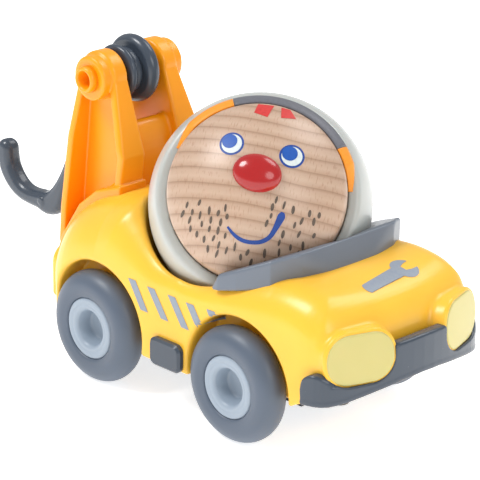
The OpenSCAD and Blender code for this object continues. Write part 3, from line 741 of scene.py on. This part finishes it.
def printed(name, ring, onto, material, body, longest=0.9):
    """Ink in the shape of a ring of flat points, laid on a curved surface."""
    work = bmesh.new()
    work.faces.new([work.verts.new((u, v, 0)) for u, v in ring])
    bmesh.ops.triangulate(work, faces=work.faces[:])
    for _ in range(6):
        long_edges = [e for e in work.edges if e.calc_length() > longest]
        if not long_edges:
            break
        bmesh.ops.subdivide_edges(work, edges=long_edges, cuts=1)
        bmesh.ops.triangulate(work, faces=work.faces[:])
    work.verts.index_update()
    points = [onto(v.co.x, v.co.y) for v in work.verts]
    faces = [[v.index for v in f.verts] for f in work.faces]
    work.free()
    mark = piece_from(name, points, faces, material, body)
    return mark


def on_face(u, v, lift=FILM):
    p = Vector((math.sqrt(BALL_R ** 2 - u * u - v * v), u, v))
    return FACE @ (p * (1 + lift / BALL_R))


def disc(u, v, r, points=40):
    return [(u + r * math.cos(2 * math.pi * k / points), v + r * math.sin(2 * math.pi * k / points))
            for k in range(points)]


def eye(word, u, v):
    layers = [("rim", 2.42, 0, 0, ink_navy, 1), ("white", 2.0, 0, 0, ink_pale, 2),
              ("iris", 1.5, -0.52, 0.42, ink_blue, 3)]
    for layer, r, du, dv, ink, lift in layers:
        printed(f"eye_{word}_{layer}", disc(u + du, v + dv, r),
                lambda a, b, k=lift: on_face(a, b, k * FILM * 0.6), ink, "head")


eye("right", -6.4, 6.8)
eye("left", 5.5, 7.2)


def brush(points):
    """The outline of a stroke through points of (u, v, half width)."""
    line = [np.array(p) for p in flow([np.array(p, float) for p in points], closed=False, steps=6)]
    left, right = [], []
    for i, p in enumerate(line):
        step = line[min(i + 1, len(line) - 1)][:2] - line[max(i - 1, 0)][:2]
        across = np.array((-step[1], step[0])) / max(np.linalg.norm(step), 1e-6) * p[2]
        left.append(tuple(p[:2] + across))
        right.append(tuple(p[:2] - across))
    return left + right[::-1]


smile = brush([(-3.0, -9.1, 0.2), (-1.4, -10.25, 0.32), (0.3, -10.85, 0.36), (2.2, -10.8, 0.36),
               (4.0, -10.2, 0.38), (5.3, -9.0, 0.42), (6.0, -7.2, 0.5), (6.4, -5.6, 0.66),
               (6.6, -4.6, 0.7), (6.65, -3.9, 0.3)])
printed("smile", smile, on_face, ink_navy, "head")
printed("lock_right", [(-4.2, 14.5), (-1.35, 14.1), (-0.95, 17.2), (-4.1, 16.8)], on_face, ink_red,
        "head")
printed("lock_left", [(1.2, 14.7), (4.0, 15.4), (2.3, 17.2), (0.5, 17.2)], on_face, ink_red,
        "head")

# short strokes of stubble over the jaw, clear of the nose and the smile
draw = random.Random(11)
dashes = []
for _ in range(3000):
    u, v = draw.uniform(-14, 13.8), draw.uniform(-14.6, -1.8)
    right_cheek = u < -2.6 and v < -5.2 + 0.08 * (u + 2.6)
    left_cheek = u > 3.8 and v < -2
    chin = v < -12
    inked = min(math.hypot(u - a, v - b) for a, b in smile) < 1.0
    under_nose = u < 4.6 and v > -3.4
    if math.hypot(u, v) > 15.4 or inked or under_nose or not (right_cheek or left_cheek or chin):
        continue
    if all(math.hypot((u - a) * 0.9, v - b) > 1.5 for a, b in dashes):
        dashes.append((u, v))
for i, (u, v) in enumerate(dashes):
    tall, wide, lean = draw.uniform(0.55, 0.9), draw.uniform(0.24, 0.34), draw.uniform(-0.15, 0.2)
    ring = [(u + wide * math.cos(a) + lean * tall * math.sin(a), v + tall * math.sin(a))
            for a in (2 * math.pi * k / 10 for k in range(10))]
    printed(f"stubble_{i:02d}", ring, on_face, ink_brown, "head")

body_tree = BVHTree.FromObject(body, bpy.context.evaluated_depsgraph_get())


def on_body(start, way):
    """The point where a line meets the body's skin, lifted by the film of ink."""
    spot, normal, _, _ = body_tree.ray_cast(metres(start), Vector(way))
    spot = spot + normal * BODY_FILM * MM
    return Vector((spot.x / MM - SHIFT, spot.y / MM, spot.z / MM))


STRIPES = [[(-9.4, 26), (-7.2, 26), (-3.5, 20.2), (-5.7, 20.2)],
           [(-3.8, 25.8), (-1.6, 25.8), (2.5, 20.1), (0.3, 20.1)],
           [(2.2, 25.8), (4.4, 25.8), (8.4, 20), (6.2, 20)],
           [(7.4, 25.7), (9.6, 25.7), (12.2, 21.7), (10.4, 21.2)],
           [(13.2, 26), (15.4, 26), (16.4, 24.7), (14.0, 24.2)]]
for side, word in ((-1, "right"), (1, "left")):
    for i, ring in enumerate(STRIPES):
        printed(f"stripe_{word}_{i}", ring,
                lambda a, b, k=side: on_body((a, 40 * k, b), (0, -k, 0)), ink_grey, "truck")


def spanner():
    """Open-ended spanner in plan: a bar with a round end, and a head with a slot."""
    turn = Matrix.Rotation(math.radians(98), 2)
    end = arc((0, 0), 1.6, 130, 230, 8)
    head = [(9.3, -1.5), *arc((11.6, 0), 2.9, 215, 335, 8), (12.6, -1.1), (11.2, -0.7), (11.2, 0.7),
            (12.6, 1.1), *arc((11.6, 0), 2.9, 25, 145, 8), (9.3, 1.5)]
    return [tuple(Vector((39.8, -4.8)) + turn @ Vector(p)) for p in end + head]


printed("spanner", spanner(), lambda a, b: on_body((a, b, 60), (0, 0, -1)), ink_grey, "truck",
        longest=0.6)

# ---- moulded pieces kept from the frame ------------------------------------------
KEPT = {"chassis": dark_abs, "motor_case_right": dark_abs, "motor_case_left": dark_abs,
        "chassis_screws": steel, "motor_screws": steel, "nose_glide": black_abs,
        "front_axle": steel, "rear_axle": steel,
        "axle_gear": gear_nylon, "idler_gear": gear_nylon, "flywheel": steel, "neck_stem": dark_abs,
        "nod_pin": steel}
for node, material in KEPT.items():
    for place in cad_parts[node].material_slots:
        place.material = material


# ---- floor and light -------------------------------------------------------------

def floor():
    mat, tree, shade = blank("pale paper", Roughness=0.9, Emission_Strength=0.7)
    shade.inputs["Emission Color"].default_value = (1, 1, 1, 1)
    place = add(tree, "ShaderNodeTexCoord").outputs["Object"]
    fibre = add(tree, "ShaderNodeTexNoise", {"Scale": 1 / (3 * MM), "Detail": 2.0}, {"Vector": place})
    tint = colour_by(tree, fibre.outputs["Fac"], [(0.3, "F4F4F3"), (0.7, "F8F8F7")])
    tree.links.new(tint, shade.inputs["Base Color"])
    mesh = bpy.data.meshes.new("floor")
    mesh.from_pydata([(-3, -3, 0), (3, -3, 0), (3, 3, 0), (-3, 3, 0)], [], [(0, 1, 2, 3)])
    obj = bpy.data.objects.new("floor", mesh)
    mesh.materials.append(mat)
    bpy.context.scene.collection.objects.link(obj)
    obj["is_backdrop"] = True


def lamp(name, place, aim, watts, size):
    """A round soft box."""
    data = bpy.data.lights.new(name, "AREA")
    data.energy = watts
    data.shape = "DISK"
    data.size = size
    obj = bpy.data.objects.new(name, data)
    obj.location = place
    obj.rotation_mode = "QUATERNION"
    obj.rotation_quaternion = (Vector(aim) - Vector(place)).to_track_quat("-Z", "Y")
    bpy.context.scene.collection.objects.link(obj)


def camera():
    data = bpy.data.cameras.new("camera")
    data.sensor_width = 36
    data.lens = 190.0
    obj = bpy.data.objects.new("camera", data)
    az, el, roll = math.radians(45.28), math.radians(20.52), math.radians(0.79)
    back = Vector((math.sin(az) * math.cos(el), -math.cos(az) * math.cos(el), math.sin(el)))
    aim = metres((-0.5, 0, 30.8))
    obj.location = aim + back * 0.5144
    turn = (-back).to_track_quat("-Z", "Y").to_matrix() @ Matrix.Rotation(roll, 3, "Z")
    obj.rotation_mode = "QUATERNION"
    obj.rotation_quaternion = turn.to_quaternion()
    data.clip_start, data.clip_end = 0.05, 20
    bpy.context.scene.collection.objects.link(obj)
    bpy.context.scene.camera = obj


floor()
centre = metres((0, 0, 25))
lamp("key", centre + Vector((-0.35, -0.45, 0.8)), centre, 5.6, 0.38)
lamp("fill", centre + Vector((1.0, -0.15, 0.55)), centre, 3.0, 0.6)
lamp("back", centre + Vector((0.1, 0.6, 0.75)), centre, 2.5, 0.5)
world = bpy.data.worlds.new("studio")
world.use_nodes = True
world.node_tree.nodes["Background"].inputs["Color"].default_value = (1, 1, 1, 1)
world.node_tree.nodes["Background"].inputs["Strength"].default_value = 0.56
bpy.context.scene.world = world
bpy.context.scene.view_settings.view_transform = "Standard"
camera()

low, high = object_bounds()
